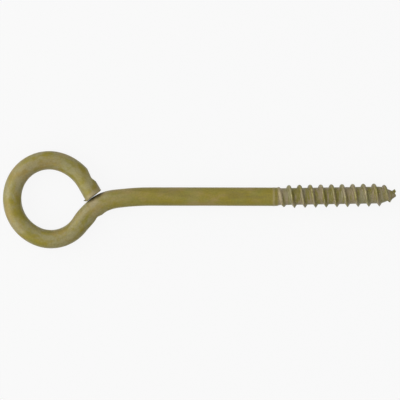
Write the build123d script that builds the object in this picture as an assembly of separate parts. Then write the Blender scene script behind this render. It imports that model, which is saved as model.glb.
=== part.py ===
from build123d import *
from math import acos, atan2, ceil, cos, degrees, pi, radians, sin, sqrt, tan
import os

# Eye lag bolt: one length of round steel wire. One end is bent round into an open eye, and the
# other is rolled with a coarse right-handed wood thread that runs out to a blunt point.
# Lengths are in millimetres and angles in degrees. The origin is the middle of the eye's
# opening, +X runs along the shank to the point, and +Z is square to the eye's plane.

# Wire
wire_diameter = 6.35

# Eye: four tangent arcs of the wire's centreline, from the free end round to the neck.
# The joint angles are where one arc hands over to the next, counted from +X.
crown_centre_x = -0.69
crown_centre_y = 0.93
lip_radius = 15.72
crown_radius = 12.57
heel_radius = 14.03
belly_radius = 12.03
lip_to_crown = 71.9
crown_to_heel = 160.7
heel_to_belly = 248.7

# Neck: a reverse bend out of the eye, then a long easy bend into the straight shank.
neck_radius = 18.01
ease_radius = 93.9
ease_angle = 7.0
shank_rise = 1.19

# Free end: cropped a little askew, just clear of the neck.
end_gap = 0.2
end_slant = 8.0
end_chamfer = 0.15

# Nick that the bending tool left on the outside of the free end.
nick_depth = 0.74
nick_setback = 0.56
nick_front_angle = 23.6
nick_back_angle = 7.9

# Threaded end: it leans very slightly from the shank. Its length runs from shank to point.
shank_reach = 77.1
lean_radius = 60.0
lean_angle = 1.07
thread_length = 40.65
shoulder_length = 0.9
root_diameter = 5.8

# Thread form: a rib with sloping flanks under a ridged crest. It rises out of the shank over
# its lead-in. The core's seam is turned well away from where the rib begins.
major_diameter = 7.95
thread_pitch = 3.63
crest_width = 0.66
crest_height = 0.24
flank_angle = 30.0
thread_start = -1.17
thread_start_angle = -162.0
lead_in_turns = 1.5
lead_in_sink = 0.17
rib_footing = 0.3
points_per_turn = 15
core_seam_angle = 60.0

# Point: a rounded knuckle, a cone and a blunt nose. The rib is lower at the nose.
knuckle_radius = 7.0
point_angle = 24.0
nose_diameter = 1.5
nose_chamfer = 0.35
nose_rib_height = 0.85

wire_radius = wire_diameter / 2
root_radius = root_diameter / 2
major_radius = major_diameter / 2
nose_radius = nose_diameter / 2


def toward(angle):
    """Unit vector in the eye's plane, at an angle from +X."""
    return Vector(cos(radians(angle)), sin(radians(angle)))


def bearing(vector):
    """Angle of a vector in the eye's plane, from 0 to 360."""
    return degrees(atan2(vector.Y, vector.X)) % 360


def wire_section(place, direction):
    """Round section of the wire, square to its direction, with its seam on the inside of a bend."""
    inward = Vector(0, 0, 1).cross(direction)
    return Plane(origin=place, x_dir=inward, z_dir=direction) * Circle(wire_radius)


def bent_wire(centre, radius, low_angle, high_angle):
    """Stretch of wire bent about a centre, between two angles about it."""
    section = wire_section(centre + radius * toward(low_angle), toward(low_angle + 90))
    return revolve(section, Axis(centre, (0, 0, 1)), high_angle - low_angle)


def straight_wire(start, end):
    """Straight stretch of wire."""
    return extrude(wire_section(start, end - start), (end - start).length)


# Centres of the eye's arcs: each lies on the line from the last centre to their joint.
crown_centre = Vector(crown_centre_x, crown_centre_y)
lip_centre = crown_centre + (crown_radius - lip_radius) * toward(lip_to_crown)
heel_centre = crown_centre + (crown_radius - heel_radius) * toward(crown_to_heel)
belly_centre = heel_centre + (heel_radius - belly_radius) * toward(heel_to_belly)

# The easy bend ends level on the shank's axis, and the neck's bend touches the eye's last arc.
neck_from_ease = (ease_radius - neck_radius) * toward(90 + ease_angle)
neck_y = shank_rise - ease_radius + neck_from_ease.Y
neck_run = sqrt((belly_radius + neck_radius) ** 2 - (neck_y - belly_centre.Y) ** 2)
neck_centre = Vector(belly_centre.X + neck_run, neck_y)
ease_centre = neck_centre - neck_from_ease
belly_to_neck = bearing(neck_centre - belly_centre)

# The free end runs straight off the first arc, towards the centre of the neck's bend.
neck_from_lip = neck_centre - lip_centre
tail_to_lip = bearing(neck_from_lip) - 360 + degrees(acos(lip_radius / neck_from_lip.length))
tail_direction = toward(tail_to_lip - 90)
tail_start = lip_centre + lip_radius * toward(tail_to_lip)
end_normal = toward(tail_to_lip - 90 + end_slant)
end_point = neck_centre - (neck_radius + wire_radius + end_gap) * end_normal

# The lean is a slight upward bend at the end of the shank.
lean_centre = Vector(shank_reach - lean_radius * sin(radians(lean_angle)), shank_rise + lean_radius)
thread_origin = lean_centre + lean_radius * toward(lean_angle - 90)
thread_frame = Plane(origin=thread_origin, x_dir=toward(lean_angle), z_dir=(0, 0, 1))

# Lengths of the point, back from the nose.
knuckle_length = knuckle_radius * sin(radians(point_angle))
cone_radius = root_radius - knuckle_radius * (1 - cos(radians(point_angle)))
cone_length = (cone_radius - nose_radius) / tan(radians(point_angle))
cone_start = thread_length - cone_length
knuckle_start = cone_start - knuckle_length


def free_end():
    """Straight stub at the end of the eye, cropped askew with its edge broken."""
    reach = (end_point - tail_start).dot(tail_direction) + wire_diameter
    stub = straight_wire(tail_start, tail_start + reach * tail_direction)
    stub = split(stub, bisect_by=Plane(origin=end_point, z_dir=end_normal), keep=Keep.BOTTOM)
    rim = stub.faces().sort_by(Axis(tail_start, end_normal))[-1].edges()
    return chamfer(rim, end_chamfer)


def eye_and_shank():
    """The wire's whole run: free end, eye, neck, shank and slight lean."""
    shank_start = ease_centre + ease_radius * toward(90)
    shank_end = lean_centre - lean_radius * toward(90)
    return (
        free_end()
        + bent_wire(lip_centre, lip_radius, tail_to_lip, lip_to_crown)
        + bent_wire(crown_centre, crown_radius, lip_to_crown, crown_to_heel)
        + bent_wire(heel_centre, heel_radius, crown_to_heel, heel_to_belly)
        + bent_wire(belly_centre, belly_radius, heel_to_belly, belly_to_neck)
        + bent_wire(neck_centre, neck_radius, 90 + ease_angle, belly_to_neck - 180)
        + bent_wire(ease_centre, ease_radius, 90, 90 + ease_angle)
        + straight_wire(shank_start, shank_end)
        + bent_wire(lean_centre, lean_radius, -90, lean_angle - 90)
    )


def bending_nick():
    """Wedge that cuts the tool's nick, square through the eye's plane."""
    outward = toward(tail_to_lip)
    bottom = tail_start + (wire_radius - nick_depth) * outward - nick_setback * tail_direction
    front = toward(tail_to_lip - 90 + nick_front_angle)
    back = toward(tail_to_lip + 90 - nick_back_angle)
    wedge = Polyline(
        bottom,
        bottom + wire_diameter * front,
        bottom + wire_diameter * (front + back),
        bottom + wire_diameter * back,
        close=True,
    )
    return extrude(make_face(wedge), wire_radius, both=True)


def core_radius(along):
    """Radius of the threaded end under its rib, at a distance from the shank."""
    if along > cone_start:
        return max(nose_radius, cone_radius - (along - cone_start) * tan(radians(point_angle)))
    if along > knuckle_start:
        return root_radius - knuckle_radius + sqrt(knuckle_radius**2 - (along - knuckle_start) ** 2)
    return root_radius


def threaded_core():
    """Shoulder, root cylinder, knuckle, cone and blunt nose, turned about the thread's axis."""
    centre = Vector(knuckle_start, root_radius - knuckle_radius)
    knuckle = CenterArc(centre, knuckle_radius, 90, -point_angle)
    shoulder = Polyline((0, 0), (0, wire_radius), (shoulder_length, root_radius), knuckle @ 0)
    cone = Line(knuckle @ 1, (thread_length - nose_chamfer, core_radius(thread_length - nose_chamfer)))
    nose = Polyline(cone @ 1, (thread_length, nose_radius - nose_chamfer), (thread_length, 0), (0, 0))
    return Rot(core_seam_angle, 0, 0) * revolve(make_face([shoulder, knuckle, cone, nose]), Axis.X)


def rib_section(turns):
    """The rib's corners after some turns: its footing, the ridge of its crest, its footing."""
    along = thread_start + thread_pitch * turns
    around = radians(thread_start_angle) + 2 * pi * turns
    core = core_radius(along)
    foot = max(core - rib_footing, nose_radius / 2)
    point_share = max(0, (along - knuckle_start) / (thread_length - knuckle_start))
    full_height = major_radius - root_radius
    crest = core + full_height + (nose_rib_height - full_height) * min(1, point_share)
    risen = turns / lead_in_turns
    if risen < 1:
        buried_crest = wire_radius - lead_in_sink
        crest = buried_crest + (major_radius - buried_crest) * risen
    shoulder = crest - crest_height
    half_crest = crest_width / 2
    half_foot = half_crest + (shoulder - foot) * tan(radians(flank_angle))
    corners = [(-half_foot, foot), (-half_crest, shoulder), (0, crest)]
    corners += [(half_crest, shoulder), (half_foot, foot)]
    return [Vector(along + x, r * cos(around), r * sin(around)) for x, r in corners]


def thread_rib():
    """Helical rib: splines through its corners, ruled faces between them and flat ends."""
    turns = (thread_length + thread_pitch / 2 - thread_start) / thread_pitch
    steps = ceil(turns * points_per_turn)
    sections = [rib_section(turns * i / steps) for i in range(steps + 1)]
    shares = [i / steps for i in range(steps + 1)]
    edges = [Edge.make_spline(list(corner), parameters=shares) for corner in zip(*sections)]
    faces = [Face.make_surface_from_curves(edges[i - 1], edges[i]) for i in range(len(edges))]
    faces += [Face(Wire.make_polygon(sections[end])) for end in (0, -1)]
    rib = Solid(Shell(faces))
    return split(rib, bisect_by=Plane(origin=(thread_length, 0, 0), z_dir=(1, 0, 0)), keep=Keep.BOTTOM)


def eye_lag_bolt():
    """The whole bolt, in one piece."""
    wire = eye_and_shank() - bending_nick()
    threaded_end = threaded_core() + thread_rib()
    return wire + thread_frame * threaded_end


os.makedirs("parts", exist_ok=True)
export_step(eye_lag_bolt(), "parts/eye_lag_bolt.step")
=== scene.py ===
from math import acos, atan2, cos, hypot, pi, radians, sin, sqrt, tan

import bmesh
import bpy
from bpy.props import FloatProperty, FloatVectorProperty, IntProperty, PointerProperty
from mathutils import Matrix, Vector, noise


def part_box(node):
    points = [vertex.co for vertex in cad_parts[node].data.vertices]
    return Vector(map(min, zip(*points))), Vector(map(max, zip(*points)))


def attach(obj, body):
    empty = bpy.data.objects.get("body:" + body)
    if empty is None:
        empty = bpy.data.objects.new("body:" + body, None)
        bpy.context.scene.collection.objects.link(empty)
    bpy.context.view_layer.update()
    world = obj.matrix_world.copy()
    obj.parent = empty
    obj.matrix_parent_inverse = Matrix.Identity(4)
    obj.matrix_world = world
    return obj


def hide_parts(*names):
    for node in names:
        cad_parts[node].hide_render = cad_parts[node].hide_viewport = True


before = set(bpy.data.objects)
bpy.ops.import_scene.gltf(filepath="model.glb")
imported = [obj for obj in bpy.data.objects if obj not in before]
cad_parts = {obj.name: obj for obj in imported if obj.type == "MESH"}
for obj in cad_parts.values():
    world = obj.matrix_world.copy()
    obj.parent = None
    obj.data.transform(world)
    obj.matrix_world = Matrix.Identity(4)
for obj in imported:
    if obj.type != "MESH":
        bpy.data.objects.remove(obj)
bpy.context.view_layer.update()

bl_info = {
    "name": "Eye lag bolt",
    "version": (1, 0, 0),
    "blender": (4, 5, 0),
    "location": "View3D > Sidebar > Eye bolt",
    "description": "Builds an eye lag bolt of bent wire with a rolled wood thread, and its stage",
    "category": "Add Mesh",
}

MM = 0.001
NODE = "eye_lag_bolt"
# The last mask holds painted shade: in the crease, along the neck, at the burr and in the groove before
# the thread.
MASKS = ("crest", "thread", "raw", "painted_shade")
FLOOR_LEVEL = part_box(NODE)[0].z

# Spacing of the rings along the wire: at its marks, along its plain runs and next to the thread.
FINE = 0.28 * MM
COARSE = 0.7 * MM
FINEST = 0.12 * MM

# How far the point's last cut lies behind the tip of the nose's lip.
NOSE_LIP = 0.06 * MM

# Lamps: place from the middle of the view, width and height, in metres.
TOP_LAMP = (Vector((0, 0, 1.0)), 3.2, 3.2)
SIDE_LAMP = (Vector((-1.15, 0, 0.62)), 2.8, 1.4)


# Properties: the sizes and colours that a user would change.


def size(name, millimetres, description):
    """Length property, with its default given in millimetres."""
    return FloatProperty(
        name=name, description=description, default=millimetres * MM, unit="LENGTH", precision=5
    )


def angle(name, degrees, description):
    """Angle property, with its default given in degrees."""
    return FloatProperty(
        name=name, description=description, default=radians(degrees), subtype="ANGLE", precision=3
    )


def colour(name, value, description):
    """Colour property, linear red, green and blue."""
    return FloatVectorProperty(
        name=name, description=description, default=value, subtype="COLOR", size=3, min=0, max=1
    )


def share(name, value, description):
    """Plain number from 0 to 1."""
    return FloatProperty(
        name=name, description=description, default=value, subtype="FACTOR", min=0, max=1
    )


def amount(name, value, description, unit="NONE"):
    """Number from zero up, with a unit where it has one."""
    return FloatProperty(name=name, description=description, default=value, unit=unit, min=0)


def count(name, value, description):
    """Whole number of faces round a turn."""
    return IntProperty(name=name, description=description, default=value, min=16, max=160)


class BoltWire(bpy.types.PropertyGroup):
    """Sizes of the bent wire, from its free end to the start of the thread."""

    wire_diameter: size("Wire diameter", 6.35, "Thickness of the round wire")
    crown_x: size("Crown centre X", -0.69, "Centre of the eye's top bend, along the shank")
    crown_y: size("Crown centre Y", 0.93, "Centre of the eye's top bend, across the shank")
    lip_radius: size("Lip radius", 15.72, "Centreline radius of the bend next to the free end")
    crown_radius: size("Crown radius", 12.57, "Centreline radius of the eye's top bend")
    heel_radius: size("Heel radius", 14.03, "Centreline radius of the bend opposite the shank")
    belly_radius: size("Belly radius", 12.03, "Centreline radius of the eye's bottom bend")
    lip_to_crown: angle("Lip to crown", 71.9, "Direction in which the lip hands over to the crown")
    crown_to_heel: angle("Crown to heel", 160.7, "Direction in which the crown hands over to the heel")
    heel_to_belly: angle("Heel to belly", 248.7, "Direction in which the heel hands over to the belly")
    neck_radius: size("Neck radius", 18.01, "Centreline radius of the reverse bend out of the eye")
    ease_radius: size("Ease radius", 93.9, "Centreline radius of the easy bend into the shank")
    ease_angle: angle("Ease angle", 7.0, "Turn of the easy bend")
    shank_rise: size("Shank rise", 1.19, "Height of the shank's axis over the middle of the eye")
    shank_reach: size("Shank reach", 77.1, "Distance from the middle of the eye to the thread")
    lean_radius: size("Lean radius", 60.0, "Radius of the slight bend before the thread")
    lean_angle: angle("Lean angle", 1.07, "Lean of the threaded end from the shank")
    end_gap: size("End gap", 0.2, "Room between the free end and the neck, before the neck's swell")
    end_slant: angle("End slant", 8.0, "Askew angle of the cropped end")
    end_round: size("End rounding", 0.22, "Rounding of the cropped end's edge")
    nick_depth: size("Nick depth", 0.8, "Depth of the bending tool's nick on the free end")
    nick_setback: size("Nick setback", 0.56, "Distance from the nick's bottom back to the straight end")
    nick_front: angle("Nick front angle", 23.6, "Slope of the nick's short flank")
    nick_back: angle("Nick back angle", 6.6, "Slope of the nick's long flank")
    seat_swell: size("Seat swell", 0.36, "How far the neck is upset where the free end meets it")
    seat_shift: angle("Seat shift", 13.0, "Place of the seat's swell, round the neck towards the shank")
    bruise: size("Bruise", 0.34, "Height of the swell that the bending pin left under the neck")
    bruise_shift: angle("Bruise shift", 7.5, "Place of that swell, round the neck towards the shank")
    dent: size("Dent", 0.17, "Depth of the sharp dent at the end of that swell")
    dent_shift: angle("Dent shift", 18.0, "Place of that dent, round the neck towards the shank")
    bump: size("Bump", 0.2, "Height of the small bump beyond the dent")
    bump_shift: angle("Bump shift", 25.0, "Place of that bump, round the neck towards the shank")
    burr: size("Burr", 1.15, "How far the inner corner of the cropped end is pulled out to a burr")
    planishing: size("Planishing", 0.08, "Depth of the slight hollows along the wire")
    sides: count("Sides", 80, "Faces round the wire")


class BoltThread(bpy.types.PropertyGroup):
    """Sizes of the rolled wood thread and its point."""

    length: size("Threaded length", 40.65, "Length of the threaded end, point included")
    shoulder: size("Shoulder length", 0.9, "Length over which the wire drops to the root")
    root_diameter: size("Root diameter", 5.8, "Thickness between the ribs")
    major_diameter: size("Major diameter", 7.92, "Thickness over the crests")
    pitch: size("Pitch", 3.63, "Distance from one crest to the next")
    crest_half: size("Crest half width", 0.16, "Half the width of the crest before it is rounded")
    flank: angle("Flank angle", 30.0, "Slope of the rib's sides from square")
    start: size("Thread start", -1.17, "Where the rib begins, from the end of the shank")
    start_angle: angle("Start angle", -162.0, "Where round the axis the rib begins")
    lead_in: amount("Lead-in turns", 1.5, "Turns over which the rib rises")
    lead_in_sink: size("Lead-in sink", 0.17, "How deep the rib's crest begins under the wire's skin")
    knuckle_radius: size("Knuckle radius", 7.0, "Rounding between the root and the point")
    point_angle: angle("Point angle", 24.0, "Slope of the point's cone")
    nose_diameter: size("Nose diameter", 1.5, "Width of the blunt nose")
    nose_rib: size("Nose rib height", 0.85, "Height of the rib at the nose")
    crest_fullness: share("Crest fullness", 0.28, "How much the crests are rounded out")
    roll_spread: share("Roll spread", 0.62, "How much fuller the crests are on one side")
    collar: size("Collar", 0.05, "Height of the slight collar that the dies raised on the shank")
    nose_hollow: size("Nose hollow", 0.4, "Depth of the hollow in the pinched-off nose")
    steps: count("Steps", 72, "Faces round one turn")


class BoltFinish(bpy.types.PropertyGroup):
    """Colours and surface of the yellow chromate finish."""

    olive: colour("Olive", (0.258, 0.209, 0.016), "Main colour of the plating")
    tan: colour("Tan", (0.325, 0.235, 0.074), "Tan patches in the plating")
    green: colour("Green", (0.222, 0.209, 0.031), "Greenish patches in the plating")
    brown: colour("Brown", (0.186, 0.141, 0.029), "Brown streaks along the wire")
    # Pale patches: partly thin plating, partly painted sheen of the side light on the eye.
    pale: colour("Pale", (0.325, 0.293, 0.157), "Thin pale plating, most of all on the eye")
    dull: colour("Dull", (0.211, 0.183, 0.034), "Duller plating on the thread")
    mauve: colour("Mauve", (0.3, 0.24, 0.146), "Brownish grey bands round the thread")
    grey: colour("Grey", (0.289, 0.274, 0.162), "Greyish patches on the thread")
    # Crest colour: partly rubbed plating, partly painted highlight on the crests.
    bright: colour("Bright", (0.448, 0.403, 0.168), "Rubbed crests of the thread")
    # Dark colour of the painted shade in the crease, along the neck, at the burr, at the foot of the
    # ribs and before the thread, and also of small random specks.
    shade_and_speck: colour("Dark", (0.076, 0.062, 0.031), "Residue in the crease and the foot of the thread")
    raw: colour("Raw", (0.364, 0.297, 0.168), "Thin plating on the cropped end and the shoulder")
    sheen: colour("Sheen", (0.9, 0.9, 0.85), "Tint of the plating's reflection at its edges")
    metal: share("Metal", 0.12, "How metallic the plating looks")
    gloss: share("Gloss", 0.45, "Strength of the plating's white sheen")
    roughness: share("Roughness", 0.48, "Mean roughness of the plating")


class BoltStage(bpy.types.PropertyGroup):
    """Floor, lamps and camera."""

    floor: colour("Floor colour", (0.5, 0.5, 0.5), "Colour of the floor in the lamps' light")
    floor_glow: share("Floor glow", 0.9, "Share of plain white in the floor where it is seen")
    top_power: amount("Top power", 16.0, "Power of the lamp overhead", "POWER")
    side_power: amount("Side power", 18.0, "Power of the lamp beyond the eye", "POWER")
    sky: amount("Sky strength", 0.16, "Strength of the room's light")
    distance: size("Camera distance", 1600.0, "Height of the camera over the bolt")
    view_width: size("View width", 136.6, "Width that the camera takes in")
    aim_x: size("Aim X", 50.815, "Middle of the view, along the shank")
    aim_y: size("Aim Y", 0.027, "Middle of the view, across the shank")
    roll: angle("Roll", 0.107, "Turn of the camera about the line of sight")


class BoltSettings(bpy.types.PropertyGroup):
    """All the bolt's settings."""

    wire: PointerProperty(type=BoltWire)
    thread: PointerProperty(type=BoltThread)
    finish: PointerProperty(type=BoltFinish)
    stage: PointerProperty(type=BoltStage)


# Course of the wire: centres and angles of its bends in the eye's plane.


def toward(direction):
    """Unit vector in the eye's plane, at an angle from the shank's direction."""
    return Vector((cos(direction), sin(direction), 0))


class Course:
    """Centres, angles and ends of the wire's bends, worked out from the named sizes."""

    def __init__(self, wire):
        self.crown = Vector((wire.crown_x, wire.crown_y, 0))
        self.lip = self.crown + (wire.crown_radius - wire.lip_radius) * toward(wire.lip_to_crown)
        self.heel = self.crown + (wire.crown_radius - wire.heel_radius) * toward(wire.crown_to_heel)
        self.belly = self.heel + (wire.heel_radius - wire.belly_radius) * toward(wire.heel_to_belly)
        ease_side = toward(pi / 2 + wire.ease_angle)
        neck_from_ease = (wire.ease_radius - wire.neck_radius) * ease_side
        neck_y = wire.shank_rise - wire.ease_radius + neck_from_ease.y
        reach = wire.belly_radius + wire.neck_radius
        neck_run = sqrt(reach**2 - (neck_y - self.belly.y) ** 2)
        self.neck = Vector((self.belly.x + neck_run, neck_y, 0))
        self.ease = self.neck - neck_from_ease
        out = self.neck - self.belly
        self.belly_to_neck = atan2(out.y, out.x) % (2 * pi)
        out = self.neck - self.lip
        bearing = atan2(out.y, out.x)
        self.tail_angle = bearing + acos(wire.lip_radius / out.length)
        self.tail = toward(self.tail_angle - pi / 2)
        self.outward = toward(self.tail_angle)
        self.tail_start = self.lip + wire.lip_radius * self.outward
        self.end_normal = toward(self.tail_angle - pi / 2 + wire.end_slant)
        room = wire.neck_radius + wire.wire_diameter / 2 + wire.end_gap
        self.end_point = self.neck - room * self.end_normal
        self.shank_start = self.ease + wire.ease_radius * toward(pi / 2)
        lean_x = wire.shank_reach - wire.lean_radius * sin(wire.lean_angle)
        self.lean = Vector((lean_x, wire.shank_rise + wire.lean_radius, 0))
        self.shank_end = self.lean - wire.lean_radius * toward(pi / 2)
        self.thread_start = self.lean + wire.lean_radius * toward(wire.lean_angle - pi / 2)


# Bent wire


def edges_of(geometry):
    """The edges in a list of mesh parts."""
    return [part for part in geometry if isinstance(part, bmesh.types.BMEdge)]


def add_layers(bm):
    """Adds the masks, and the place that each point had in the wire before it was bent."""
    for name in MASKS:
        bm.verts.layers.float.new(name)
    bm.verts.layers.float_vector.new("unbent")


class DrawnWire:
    """Wire drawn from one open end, a straight run or a bend at a time."""

    def __init__(self, bm, sides, radius, begin, facing):
        ring = bmesh.ops.create_circle(bm, segments=sides, radius=radius)["verts"]
        turned = Matrix.Rotation(facing, 4, "Z") @ Matrix.Rotation(pi / 2, 4, "X")
        bmesh.ops.transform(bm, matrix=Matrix.Translation(begin) @ turned, verts=ring)
        self.bm = bm
        self.loop = bm.edges[:]
        self.place = begin
        self.laid = 0
        self.noted = set()

    def straight(self, run, spacing):
        """Draws a straight run."""
        steps = max(1, round(run.length / spacing))
        drawn = bmesh.ops.spin(
            self.bm,
            geom=self.loop,
            cent=(0, 0, 0),
            axis=(0, 0, 1),
            dvec=run / steps,
            angle=0,
            steps=steps,
        )
        self.loop = edges_of(drawn["geom_last"])
        ahead = run.normalized()
        left = Matrix.Rotation(pi / 2, 3, "Z") @ ahead

        def unbent(place):
            offset = place - self.place
            return self.laid + offset.dot(ahead), offset.dot(left), place.z

        self.note(unbent)
        self.place = self.place + run
        self.laid += run.length

    def bend(self, centre, turn, spacing):
        """Draws a bend about a centre: a turn over zero is to the left."""
        arm = self.place - centre
        steps = max(1, round(abs(turn) * arm.length / spacing))
        drawn = bmesh.ops.spin(
            self.bm,
            geom=self.loop,
            cent=centre,
            axis=(0, 0, 1),
            dvec=(0, 0, 0),
            angle=turn,
            steps=steps,
        )
        self.loop = edges_of(drawn["geom_last"])
        way = 1 if turn > 0 else -1

        def unbent(place):
            out = Vector((place.x - centre.x, place.y - centre.y, 0))
            turned = way * atan2(arm.cross(out).z, arm.dot(out))
            return self.laid + turned * arm.length, way * (arm.length - out.length), place.z

        self.note(unbent)
        self.place = centre + Matrix.Rotation(turn, 3, "Z") @ arm
        self.laid += abs(turn) * arm.length

    def note(self, unbent):
        """Notes where the new points lay in the straight wire."""
        layer = self.bm.verts.layers.float_vector["unbent"]
        for vert in self.bm.verts:
            if vert not in self.noted:
                vert[layer] = unbent(vert.co)
                self.noted.add(vert)


def crop_end(bm, wire, course):
    """Crops the free end askew, closes it and rounds its edge."""
    cut = bmesh.ops.bisect_plane(
        bm,
        geom=bm.verts[:] + bm.edges[:] + bm.faces[:],
        plane_co=course.end_point,
        plane_no=course.end_normal,
        clear_outer=True,
        dist=1e-7,
    )
    rim = edges_of(cut["geom_cut"])
    bmesh.ops.edgeloop_fill(bm, edges=rim)
    bmesh.ops.bevel(
        bm,
        geom=rim,
        offset=wire.end_round,
        offset_type="OFFSET",
        affect="EDGES",
        segments=4,
        profile=0.5,
        material=-1,
    )


def press_nick(bm, wire, course):
    """Presses the bending tool's nick into the outside of the free end."""
    depth = wire.wire_diameter / 2 - wire.nick_depth
    bottom = course.tail_start + depth * course.outward - wire.nick_setback * course.tail
    reach = 7 * MM
    headroom = 3 * MM
    for vert in bm.verts:
        offset = vert.co - bottom
        along = offset.dot(course.tail)
        across = offset.dot(course.outward)
        floor = along * tan(wire.nick_front) if along > 0 else -along * tan(wire.nick_back)
        if across > floor and abs(along) < reach and across < headroom:
            vert.co -= (across - floor) * course.outward


def swell(verts, place, reach, push, power):
    """Pushes the wire's skin about a place: a power of 1 makes a peak and 2 a round swell."""
    for vert in verts:
        away = (vert.co - place).length / reach
        if away < 1:
            vert.co += push * (1 - away**power) ** power


def mark_end(bm, course):
    """Marks thin plating round the cropped end, and paints shade into the crease, along the neck and at
    the burr.
    """
    raw = bm.verts.layers.float["raw"]
    painted_shade = bm.verts.layers.float["painted_shade"]
    face = Matrix.Rotation(pi / 2, 3, "Z") @ course.end_normal
    # Each: mask, place along the face and behind it, half length and width in mm, strength.
    rim = (raw, 3.0, 0.6, 4.4, 1.3, 0.9)
    rubbed = (raw, 1.5, -1.5, 2.2, 1.4, 0.9)
    # The crease, the dark streak along the neck and the burr's darkening are painted shade.
    crease = (painted_shade, 2.2, -0.3, 2.9, 0.9, 0.8)
    neck_shadow = (painted_shade, 5.0, -0.9, 2.6, 0.8, 0.8)
    burr = (painted_shade, -0.6, 0.45, 0.7, 0.7, 1.3)
    for layer, across, deep, half_length, half_width, strength in (rim, rubbed, crease, neck_shadow, burr):
        for vert in bm.verts:
            offset = (vert.co - course.end_point) / MM
            along = (offset.dot(face) - across) / half_length
            down = (-offset.dot(course.end_normal) - deep) / half_width
            vert[layer] = max(vert[layer], min(1, strength * (1 - along**2 - down**2)))


def raise_collar(bm, height, laid):
    """Raises a slight collar on the shank before the thread, with painted shade in the groove between
    the two.
    """
    unbent = bm.verts.layers.float_vector["unbent"]
    raw = bm.verts.layers.float["raw"]
    painted_shade = bm.verts.layers.float["painted_shade"]
    collar_place, collar_half = 1.1 * MM, 0.6 * MM
    groove_shade_place, groove_shade_half = 0.4 * MM, 0.5 * MM
    for vert in bm.verts:
        along, left, up = vert[unbent]
        before_thread = laid - along
        away = abs(before_thread - collar_place) / collar_half
        if away < 1:
            vert.co += Vector((0, left, up)).normalized() * height * (1 - away**2) ** 2
            vert[raw] = 0.7 * (1 - away)
        # Painted shade in the groove between the collar and the thread.
        away = abs(before_thread - groove_shade_place) / groove_shade_half
        if away < 1:
            vert[painted_shade] = 0.32 * (1 - away)


def crop_burr(bm, wire, course):
    """Pulls the inner corner of the cropped end out into a burr."""
    corner = course.end_point - 0.06 * wire.wire_diameter / 2 * course.outward
    pulled = -(course.outward + course.tail).normalized()
    swell(bm.verts, corner, 0.95 * MM, wire.burr * pulled, 1)


def mark_neck(verts, wire, course):
    """Upsets the neck where the free end bears on it, and marks its other side as the pin did."""
    radius = wire.wire_diameter / 2
    seat_side = Matrix.Rotation(-wire.seat_shift, 3, "Z") @ -course.end_normal
    seat = course.neck + (wire.neck_radius + radius) * seat_side
    swell(verts, seat, 8 * MM, wire.seat_swell * seat_side, 2)
    bruise = (wire.bruise_shift, -wire.bruise, 3.3 * MM, 2)
    dent = (wire.dent_shift, wire.dent, 1.4 * MM, 1)
    bump = (wire.bump_shift, -wire.bump, 1.8 * MM, 1)
    for shift, height, reach, power in (bruise, dent, bump):
        side = toward(course.belly_to_neck - pi - shift)
        place = course.neck + (wire.neck_radius - radius) * side
        swell(verts, place, reach, height * side, power)


def draw_free_end(bm, wire, course):
    """Draws the free end and the lip, with the tool's nick, the crop and its burr."""
    radius = wire.wire_diameter / 2
    spare = 1.2 * radius
    stub = (course.end_point - course.tail_start).dot(course.tail) + spare
    begin = course.tail_start + stub * course.tail
    drawn = DrawnWire(bm, wire.sides, radius, begin, course.tail_angle)
    drawn.straight(-stub * course.tail, FINE)
    drawn.bend(course.lip, wire.lip_to_crown - course.tail_angle, FINE)
    press_nick(bm, wire, course)
    crop_end(bm, wire, course)
    crop_burr(bm, wire, course)
    drawn.noted = set(bm.verts)
    return drawn


def bend_wire(bm, wire, course, collar):
    """Draws the wire from its free end round the eye and out along the shank."""
    drawn = draw_free_end(bm, wire, course)
    drawn.bend(course.crown, wire.crown_to_heel - wire.lip_to_crown, COARSE)
    drawn.bend(course.heel, wire.heel_to_belly - wire.crown_to_heel, COARSE)
    before = set(bm.verts)
    drawn.bend(course.belly, course.belly_to_neck - wire.heel_to_belly, COARSE)
    drawn.bend(course.neck, wire.ease_angle + 1.5 * pi - course.belly_to_neck, FINE)
    drawn.bend(course.ease, -wire.ease_angle, COARSE)
    mark_neck([vert for vert in bm.verts if vert not in before], wire, course)
    shank = course.shank_end - course.shank_start
    rolled = 2 * MM * shank.normalized()
    drawn.straight(shank - rolled, COARSE)
    drawn.straight(rolled, FINEST)
    drawn.bend(course.lean, wire.lean_angle, FINEST)
    mark_end(bm, course)
    raise_collar(bm, collar, drawn.laid)
    return drawn.laid


# Thread


def core_radius(wire, thread, along):
    """Radius under the rib, at a distance from the end of the shank."""
    root = thread.root_diameter / 2
    if along < thread.shoulder:
        drop = max(0, along) / thread.shoulder
        return wire.wire_diameter / 2 + (root - wire.wire_diameter / 2) * drop
    slope = thread.point_angle
    cone = root - thread.knuckle_radius * (1 - cos(slope))
    nose = thread.nose_diameter / 2
    cone_start = thread.length - (cone - nose) / tan(slope)
    knuckle_start = cone_start - thread.knuckle_radius * sin(slope)
    if along > cone_start:
        return max(nose / 2, cone - (along - cone_start) * tan(slope))
    if along > knuckle_start:
        fall = thread.knuckle_radius - sqrt(thread.knuckle_radius**2 - (along - knuckle_start) ** 2)
        return root - fall
    return root


def crest_radius(wire, thread, along):
    """Radius over the rib's crest, at a distance from the end of the shank."""
    major = thread.major_diameter / 2
    turns = (along - thread.start) / thread.pitch
    if turns < thread.lead_in:
        buried = wire.wire_diameter / 2 - thread.lead_in_sink
        return buried + (major - buried) * max(0, turns) / thread.lead_in
    full = (thread.major_diameter - thread.root_diameter) / 2
    core = core_radius(wire, thread, along)
    taper_start = thread.length - 7 * MM
    taper = min(1, max(0, (along - taper_start) / (thread.length - taper_start)))
    return core + full + (thread.nose_rib - full) * taper


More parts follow.
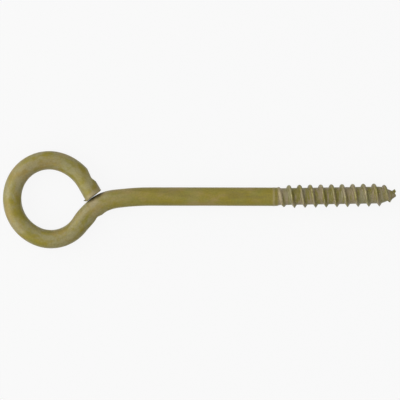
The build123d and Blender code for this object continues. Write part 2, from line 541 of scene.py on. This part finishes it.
def rib_profile(bm, thread):
    """One pitch of the thread's outline, from mid root over the crest to mid root."""
    root = thread.root_diameter / 2
    height = thread.major_diameter / 2 - root
    crest = thread.crest_half
    foot = crest + height * tan(thread.flank)
    # Each point: distance from the crest's middle, and share of the rib's height.
    half = [(thread.pitch / 2, 0), (0.5 * thread.pitch / 2 + 0.5 * foot, 0), (1.25 * foot, 0.0)]
    half += [(1.04 * foot, 0.035), (0.9 * foot, 0.14)]
    half += [(crest + (foot - crest) * (1 - climb), climb) for climb in (0.35, 0.6, 0.8)]
    half += [(0.92 * crest, 0.93), (0.45 * crest, 0.985)]
    line = [(-x, climb) for x, climb in half] + [(0, 1)] + [(x, climb) for x, climb in reversed(half)]
    verts = [bm.verts.new((x, root + climb * height, 0)) for x, climb in line]
    return [bm.edges.new(pair) for pair in zip(verts, verts[1:])]


def roll_thread(bm, wire, thread):
    """Winds the rib's outline into a screw, then shapes its lead-in and its point."""
    # It begins a turn before the rib and runs past the nose: both ends are trimmed off later.
    turns = (thread.length - thread.start + 0.6 * thread.pitch) / thread.pitch + 1
    profile = rib_profile(bm, thread)
    start = thread.start - thread.pitch
    placed = Matrix.Translation((start, 0, 0)) @ Matrix.Rotation(thread.start_angle, 4, "X")
    bmesh.ops.transform(bm, matrix=placed, verts=bm.verts[:])
    steps = round(turns * thread.steps)
    step_turn = 2 * pi / thread.steps
    bmesh.ops.spin(
        bm,
        geom=profile,
        cent=(0, 0, 0),
        axis=(1, 0, 0),
        dvec=(thread.pitch / thread.steps, 0, 0),
        angle=step_turn * steps,
        steps=steps,
    )
    bmesh.ops.remove_doubles(bm, verts=bm.verts[:], dist=1e-6)
    root = thread.root_diameter / 2
    height = thread.major_diameter / 2 - root
    crest_layer = bm.verts.layers.float["crest"]
    first_rise = 0.4 * MM
    for vert in bm.verts:
        around = atan2(vert.co.z, vert.co.y)
        along = vert.co.x
        climb = (hypot(vert.co.y, vert.co.z) - root) / height
        core = core_radius(wire, thread, along)
        rise = max(0, crest_radius(wire, thread, along) - core)
        rise *= min(1, max(0, along) / first_rise)
        vert[crest_layer] = climb * min(1, rise / height)
        fresh = core + climb * rise
        vert.co.y = fresh * cos(around)
        vert.co.z = fresh * sin(around)
        turns = (along - thread.start) / thread.pitch - (around - thread.start_angle) / (2 * pi)
        from_crest = (turns - round(turns)) * thread.pitch
        fuller = thread.crest_fullness + thread.roll_spread * cos(around)
        vert.co.x += from_crest * fuller * max(0, climb) ** 1.5 * min(1, rise / height)


def trim_thread(bm, place, direction):
    """Trims the screw square at a place along its axis."""
    bmesh.ops.bisect_plane(
        bm,
        geom=bm.verts[:] + bm.edges[:] + bm.faces[:],
        plane_co=(place, 0, 0),
        plane_no=(direction, 0, 0),
        clear_outer=True,
        dist=1e-7,
    )


def close_nose(bm, thread, rim):
    """Closes the blunt nose with a lip and a shallow hollow."""
    # Each ring: share of the nose's radius, and its step forward in mm.
    for inset, forward in ((0.86, 0.06), (0.66, 0.05), (0.4, -0.16), (0.18, -0.22)):
        grown = bmesh.ops.extrude_edge_only(bm, edges=rim)["geom"]
        rim = edges_of(grown)
        ring = {vert for edge in rim for vert in edge.verts}
        mean = sum((vert.co for vert in ring), Vector()) / len(ring)
        reach = sum(hypot(vert.co.y - mean.y, vert.co.z - mean.z) for vert in ring) / len(ring)
        wanted = inset * thread.nose_diameter / 2
        for vert in ring:
            vert.co.x = thread.length - NOSE_LIP + forward * MM
            vert.co.y = mean.y + (vert.co.y - mean.y) * wanted / reach
            vert.co.z = mean.z + (vert.co.z - mean.z) * wanted / reach
        rim = [edge for edge in rim if edge.is_boundary]
    bmesh.ops.edgeloop_fill(bm, edges=rim)


def ragged_nose(verts, thread):
    """Roughens the last of the point, where the dies pinched it off, and hollows its end."""
    torn = 1.6 * MM
    hollow_place, hollow_half = 0.45 * MM, 0.55 * MM
    broken_edge = 1.05 * MM
    lumps_per_metre, roughness = 900, 0.35
    for vert in verts:
        if vert.co.x > thread.length - torn:
            depth = min(1, (vert.co.x - thread.length + torn) / (1.2 * MM))
            level = Vector((0, vert.co.y, vert.co.z))
            hollow = max(0, 1 - abs(vert.co.y - hollow_place) / hollow_half)
            back = thread.nose_hollow * hollow + 0.55 * max(0, vert.co.y - broken_edge)
            vert.co += level * noise.noise(vert.co * lumps_per_metre) * roughness * depth
            vert.co.x -= back * depth


# Bolt


def wound_thread(wire, thread, laid):
    """The threaded end about the X axis from zero, open where it meets the shank."""
    bm = bmesh.new()
    add_layers(bm)
    roll_thread(bm, wire, thread)
    bridged_gap = 0.15 * MM
    trim_thread(bm, thread.length - NOSE_LIP, 1)
    trim_thread(bm, bridged_gap, -1)
    half = thread.length / 2
    nose = [e for e in bm.edges if e.is_boundary and min(v.co.x for v in e.verts) > half]
    close_nose(bm, thread, nose)
    unbent = bm.verts.layers.float_vector["unbent"]
    threaded = bm.verts.layers.float["thread"]
    raw = bm.verts.layers.float["raw"]
    ring_place, ring_half = 0.95 * MM, 1.1 * MM
    spot_place, spot_reach = Vector((thread.length - 2.85 * MM, -0.4 * MM, 1.8 * MM)), 1.9 * MM
    for vert in bm.verts:
        vert[unbent] = (laid + vert.co.x, vert.co.y, vert.co.z)
        vert[threaded] = min(1, max(0, vert.co.x / thread.shoulder))
        ring = 0.85 * (1 - abs(vert.co.x - ring_place) / ring_half)
        spot = 1.2 * (1 - (vert.co - spot_place).length / spot_reach)
        vert[raw] = max(0, ring, spot)
    ragged_nose(bm.verts, thread)
    return bm


def build_bolt(settings):
    """Makes the whole bolt as one closed mesh."""
    wire = settings.wire
    thread = settings.thread
    course = Course(wire)
    wire_bm = bmesh.new()
    add_layers(wire_bm)
    laid = bend_wire(wire_bm, wire, course, thread.collar)
    wire_mesh = bpy.data.meshes.new("wire")
    wire_bm.to_mesh(wire_mesh)
    wire_bm.free()
    bm = wound_thread(wire, thread, laid)
    placed = Matrix.Translation(course.thread_start) @ Matrix.Rotation(wire.lean_angle, 4, "Z")
    bmesh.ops.transform(bm, matrix=placed, verts=bm.verts[:])
    bm.from_mesh(wire_mesh)
    bpy.data.meshes.remove(wire_mesh)
    joint = [edge for edge in bm.edges if edge.is_boundary]
    bmesh.ops.bridge_loops(bm, edges=joint)
    bmesh.ops.recalc_face_normals(bm, faces=bm.faces[:])
    bm.normal_update()
    threaded = bm.verts.layers.float["thread"]
    hollows_per_metre = 170
    for vert in bm.verts:
        hollow = max(0.3, noise.noise(vert.co * hollows_per_metre))
        vert.co -= vert.normal * wire.planishing * hollow * (1 - 0.6 * vert[threaded])
    for face in bm.faces:
        face.smooth = len(face.verts) < 8
    mesh = bpy.data.meshes.new("dressed_bolt")
    bm.to_mesh(mesh)
    bm.free()
    return mesh


# Materials


def add(tree, kind, **inputs):
    """Adds a node and sets its inputs by name."""
    node = tree.nodes.new(kind)
    for name, value in inputs.items():
        node.inputs[name.replace("_", " ")].default_value = value
    return node


def clouds(tree, vector, size, span, stretch=(1, 1, 1), offset=0.0, detail=3):
    """Soft noise mask: patches of a size in millimetres, drawn out along the axes by stretch."""
    moved = tree.nodes.new("ShaderNodeMapping")
    moved.inputs["Location"].default_value = (offset, 0.7 * offset, 1.3 * offset)
    moved.inputs["Scale"].default_value = [1 / length for length in stretch]
    tree.links.new(vector, moved.inputs["Vector"])
    grain = add(tree, "ShaderNodeTexNoise", Scale=1 / (size * MM), Detail=detail, Roughness=0.55)
    tree.links.new(moved.outputs["Vector"], grain.inputs["Vector"])
    return ranged(tree, grain.outputs["Fac"], *span)


def blend(tree, mask, first, second):
    """Mixes two colours, each a value or a socket, by a mask."""
    mix = tree.nodes.new("ShaderNodeMix")
    mix.data_type = "RGBA"
    for socket, value in ((mix.inputs[6], first), (mix.inputs[7], second)):
        if isinstance(value, bpy.types.NodeSocket):
            tree.links.new(value, socket)
        else:
            socket.default_value = (*value, 1)
    tree.links.new(mask, mix.inputs[0])
    return mix.outputs[2]


def scaled(tree, value, factor, plus=0.0):
    """Multiplies a value and adds to it."""
    maths = tree.nodes.new("ShaderNodeMath")
    maths.operation = "MULTIPLY_ADD"
    tree.links.new(value, maths.inputs[0])
    maths.inputs[1].default_value = factor
    maths.inputs[2].default_value = plus
    return maths.outputs[0]


def joined(tree, operation, first, second):
    """Two values joined by a sum, a product or the like."""
    maths = tree.nodes.new("ShaderNodeMath")
    maths.operation = operation
    tree.links.new(first, maths.inputs[0])
    tree.links.new(second, maths.inputs[1])
    return maths.outputs[0]


def ranged(tree, value, low, high, top=1.0, bottom=0.0):
    """Eases a value from bottom to top as it goes from low to high."""
    node = tree.nodes.new("ShaderNodeMapRange")
    node.interpolation_type = "SMOOTHSTEP"
    tree.links.new(value, node.inputs["Value"])
    node.inputs["From Min"].default_value = low
    node.inputs["From Max"].default_value = high
    node.inputs["To Min"].default_value = bottom
    node.inputs["To Max"].default_value = top
    return node.outputs["Result"]


def carried(tree, name):
    """One of the mesh's masks, or its place in the wire before it was bent."""
    node = tree.nodes.new("ShaderNodeAttribute")
    node.attribute_name = name
    return node.outputs["Vector" if name == "unbent" else "Fac"]


def part_of(tree, vector, axis):
    """One part of a vector: X, Y or Z."""
    split = tree.nodes.new("ShaderNodeSeparateXYZ")
    tree.links.new(vector, split.inputs[0])
    return split.outputs[axis]


def plated_shank(tree, finish, unbent, place):
    """Olive plating with tan and greenish patches and brown streaks that follow the wire, and pale
    patches on the eye that are partly thin plating and partly painted sheen.
    """
    patches = clouds(tree, unbent, 5.5, (0.44, 0.62), (2, 1, 1), 0.3, detail=4)
    greenish = clouds(tree, unbent, 4, (0.46, 0.64), (1.6, 1, 1), 0.9, detail=4)
    streaks = clouds(tree, unbent, 1.9, (0.5, 0.72), (6, 1, 1), 1.7)
    mottle = clouds(tree, unbent, 2.8, (0.36, 0.64), (1.5, 1, 1), 2.9, detail=4)
    tone = blend(tree, scaled(tree, patches, 0.75), finish.olive, finish.tan)
    tone = blend(tree, scaled(tree, greenish, 0.55), tone, finish.green)
    tone = blend(tree, scaled(tree, streaks, 0.5), tone, finish.brown)
    # Paler towards the eye in patches: partly thin plating, partly painted sheen.
    eye = ranged(tree, part_of(tree, place, "X"), 12 * MM, 30 * MM, top=0.1, bottom=0.7)
    return blend(tree, joined(tree, "MULTIPLY", eye, mottle), tone, finish.pale)


def plated_thread(tree, finish, unbent, crest):
    """Duller plating banded round the thread, with painted shade at the foot of the ribs, and crests
    that are partly rubbed plating and partly painted highlight.
    """
    bands = clouds(tree, unbent, 1.0, (0.44, 0.56), (1, 6, 6), 3.1)
    grey = clouds(tree, unbent, 2.6, (0.5, 0.7), (1, 3, 3), 4.3)
    rub_and_glint = clouds(tree, unbent, 1.6, (0.42, 0.68), offset=5.7)
    tone = blend(tree, scaled(tree, bands, 0.85), finish.dull, finish.mauve)
    tone = blend(tree, scaled(tree, grey, 0.6), tone, finish.grey)
    # Painted shade low on the ribs' flanks, near their foot.
    foot = ranged(tree, crest, 0.0, 0.12)
    flank = ranged(tree, crest, 0.25, 0.6, top=0.0, bottom=1.0)
    foot_shade = joined(tree, "MULTIPLY", foot, flank)
    tone = blend(tree, scaled(tree, foot_shade, 0.1), tone, finish.shade_and_speck)
    # Crests lightened in patches: partly rubbed plating, partly painted highlight.
    rubbed = joined(tree, "MULTIPLY", ranged(tree, crest, 0.88, 0.99), rub_and_glint)
    return blend(tree, scaled(tree, rubbed, 0.9), tone, finish.bright)


def yellow_zinc(finish):
    """Zinc plating under yellow chromate: olive and blotchy, duller on the thread."""
    material = bpy.data.materials.new("yellow_zinc")
    material.use_nodes = True
    tree = material.node_tree
    tree.nodes.clear()
    output = tree.nodes.new("ShaderNodeOutputMaterial")
    shader = add(tree, "ShaderNodeBsdfPrincipled", Metallic=finish.metal)
    shader.inputs["Specular IOR Level"].default_value = finish.gloss
    shader.inputs["Specular Tint"].default_value = (*finish.sheen, 1)
    tree.links.new(shader.outputs["BSDF"], output.inputs["Surface"])
    place = tree.nodes.new("ShaderNodeTexCoord").outputs["Object"]
    unbent = carried(tree, "unbent")
    shank = plated_shank(tree, finish, unbent, place)
    thread = plated_thread(tree, finish, unbent, carried(tree, "crest"))
    tone = blend(tree, carried(tree, "thread"), shank, thread)
    tone = blend(tree, scaled(tree, carried(tree, "raw"), 0.8), tone, finish.raw)
    # Painted shade from the last mask: crease, neck, burr and the groove before the thread.
    tone = blend(tree, scaled(tree, carried(tree, "painted_shade"), 0.85), tone, finish.shade_and_speck)
    speck = clouds(tree, place, 0.5, (0.38, 0.62), offset=2.3)
    tone = blend(tree, scaled(tree, speck, 0.16), tone, finish.shade_and_speck)
    tree.links.new(tone, shader.inputs["Base Color"])
    drawing = clouds(tree, unbent, 0.3, (0.2, 0.8), (25, 1, 1), 6.1, detail=2)
    rough = scaled(tree, speck, 0.14, finish.roughness - 0.07)
    tree.links.new(rough, shader.inputs["Roughness"])
    bump = add(tree, "ShaderNodeBump", Strength=0.3, Distance=0.05 * MM)
    tree.links.new(joined(tree, "ADD", speck, drawing), bump.inputs["Height"])
    tree.links.new(bump.outputs["Normal"], shader.inputs["Normal"])
    return material


def seen_directly(tree):
    """One for what the camera, a reflection or a transmission sees, nothing for plain light."""
    rays = tree.nodes.new("ShaderNodeLightPath").outputs
    seen = joined(tree, "MAXIMUM", rays["Is Camera Ray"], rays["Is Glossy Ray"])
    return joined(tree, "MAXIMUM", seen, rays["Is Transmission Ray"])


def pale_floor(stage):
    """Pale floor that keeps a faint shadow, and is near plain white where it is seen."""
    material = bpy.data.materials.new("pale_floor")
    material.use_nodes = True
    tree = material.node_tree
    tree.nodes.clear()
    output = tree.nodes.new("ShaderNodeOutputMaterial")
    matt = add(tree, "ShaderNodeBsdfDiffuse", Color=(*stage.floor, 1))
    white = add(tree, "ShaderNodeEmission", Color=(1, 1, 1, 1), Strength=1.0)
    mix = tree.nodes.new("ShaderNodeMixShader")
    tree.links.new(scaled(tree, seen_directly(tree), stage.floor_glow), mix.inputs[0])
    tree.links.new(matt.outputs[0], mix.inputs[1])
    tree.links.new(white.outputs[0], mix.inputs[2])
    tree.links.new(mix.outputs[0], output.inputs["Surface"])
    return material


# Operators


class BOLT_OT_build(bpy.types.Operator):
    """Build the dressed bolt in place of the plain one"""

    bl_idname = "bolt.build"
    bl_label = "Build the bolt"

    def execute(self, context):
        settings = context.scene.eye_lag_bolt
        bolt = bpy.data.objects.new("dressed_bolt", build_bolt(settings))
        context.scene.collection.objects.link(bolt)
        bolt.data.materials.append(yellow_zinc(settings.finish))
        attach(bolt, "root")
        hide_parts(NODE)
        return {"FINISHED"}


class BOLT_OT_stage(bpy.types.Operator):
    """Set the floor, the lamps, the room's light and the camera"""

    bl_idname = "bolt.stage"
    bl_label = "Set the stage"

    def execute(self, context):
        stage = context.scene.eye_lag_bolt.stage
        scene = context.scene
        bm = bmesh.new()
        bmesh.ops.create_grid(bm, x_segments=1, y_segments=1, size=2.5)
        bmesh.ops.translate(bm, vec=(stage.aim_x, stage.aim_y, FLOOR_LEVEL), verts=bm.verts[:])
        mesh = bpy.data.meshes.new("floor")
        bm.to_mesh(mesh)
        bm.free()
        floor = bpy.data.objects.new("floor", mesh)
        floor.data.materials.append(pale_floor(stage))
        scene.collection.objects.link(floor)
        set_lamps(scene, stage)
        set_room(scene, stage)
        set_camera(scene, stage)
        return {"FINISHED"}


def set_lamps(scene, stage):
    """Wide soft lamps: a round one overhead, and a long one to the side, beyond the eye."""
    target = Vector((stage.aim_x, stage.aim_y, 0))
    top = ("top_lamp", *TOP_LAMP, stage.top_power)
    side = ("side_lamp", *SIDE_LAMP, stage.side_power)
    for name, away, width, height, power in (top, side):
        lamp = bpy.data.lights.new(name, "AREA")
        lamp.shape = "ELLIPSE"
        lamp.size = width
        lamp.size_y = height
        lamp.energy = power
        holder = bpy.data.objects.new(name, lamp)
        holder.location = target + away
        holder.rotation_euler = (-away).to_track_quat("-Z", "Y").to_euler()
        scene.collection.objects.link(holder)


def set_room(scene, stage):
    """Even light from the room, whose walls are white and its ceiling dim where they are seen."""
    world = bpy.data.worlds.new("room")
    world.use_nodes = True
    tree = world.node_tree
    tree.nodes.clear()
    output = tree.nodes.new("ShaderNodeOutputWorld")
    air = add(tree, "ShaderNodeBackground", Color=(1, 1, 1, 1), Strength=stage.sky)
    white = add(tree, "ShaderNodeBackground", Color=(1, 1, 1, 1), Strength=1.0)
    mix = tree.nodes.new("ShaderNodeMixShader")
    upward = part_of(tree, tree.nodes.new("ShaderNodeTexCoord").outputs["Generated"], "Z")
    walls = ranged(tree, upward, 0.45, 0.9, top=0.0, bottom=1.0)
    tree.links.new(joined(tree, "MULTIPLY", walls, seen_directly(tree)), mix.inputs[0])
    tree.links.new(air.outputs[0], mix.inputs[1])
    tree.links.new(white.outputs[0], mix.inputs[2])
    tree.links.new(mix.outputs[0], output.inputs["Surface"])
    scene.world = world
    scene.view_settings.view_transform = "Standard"


def set_camera(scene, stage):
    """Long lens straight over the bolt."""
    lens = bpy.data.cameras.new("camera")
    lens.sensor_width = 36
    lens.lens = 36 * stage.distance / stage.view_width
    lens.clip_end = 20
    camera = bpy.data.objects.new("camera", lens)
    camera.location = (stage.aim_x, stage.aim_y, stage.distance)
    camera.rotation_euler = (0, 0, stage.roll)
    scene.collection.objects.link(camera)
    scene.camera = camera


class BOLT_PT_panel(bpy.types.Panel):
    """Sizes, colours and buttons of the bolt"""

    bl_idname = "BOLT_PT_panel"
    bl_label = "Eye lag bolt"
    bl_space_type = "VIEW_3D"
    bl_region_type = "UI"
    bl_category = "Eye bolt"

    def draw(self, context):
        settings = context.scene.eye_lag_bolt
        for title in ("wire", "thread", "finish", "stage"):
            group = getattr(settings, title)
            box = self.layout.box()
            box.label(text=title.capitalize())
            for name in group.__annotations__:
                box.prop(group, name)
        self.layout.operator("bolt.build")
        self.layout.operator("bolt.stage")


CLASSES = (
    BoltWire,
    BoltThread,
    BoltFinish,
    BoltStage,
    BoltSettings,
    BOLT_OT_build,
    BOLT_OT_stage,
    BOLT_PT_panel,
)


def register():
    """Registers the classes and hangs the settings on the scene."""
    for cls in CLASSES:
        bpy.utils.register_class(cls)
    bpy.types.Scene.eye_lag_bolt = PointerProperty(type=BoltSettings)


def unregister():
    """Takes the settings and the classes away again."""
    del bpy.types.Scene.eye_lag_bolt
    for cls in reversed(CLASSES):
        bpy.utils.unregister_class(cls)


def main():
    """Builds the bolt and its stage."""
    register()
    bpy.ops.bolt.stage()
    bpy.ops.bolt.build()


if __name__ == "__main__":
    main()
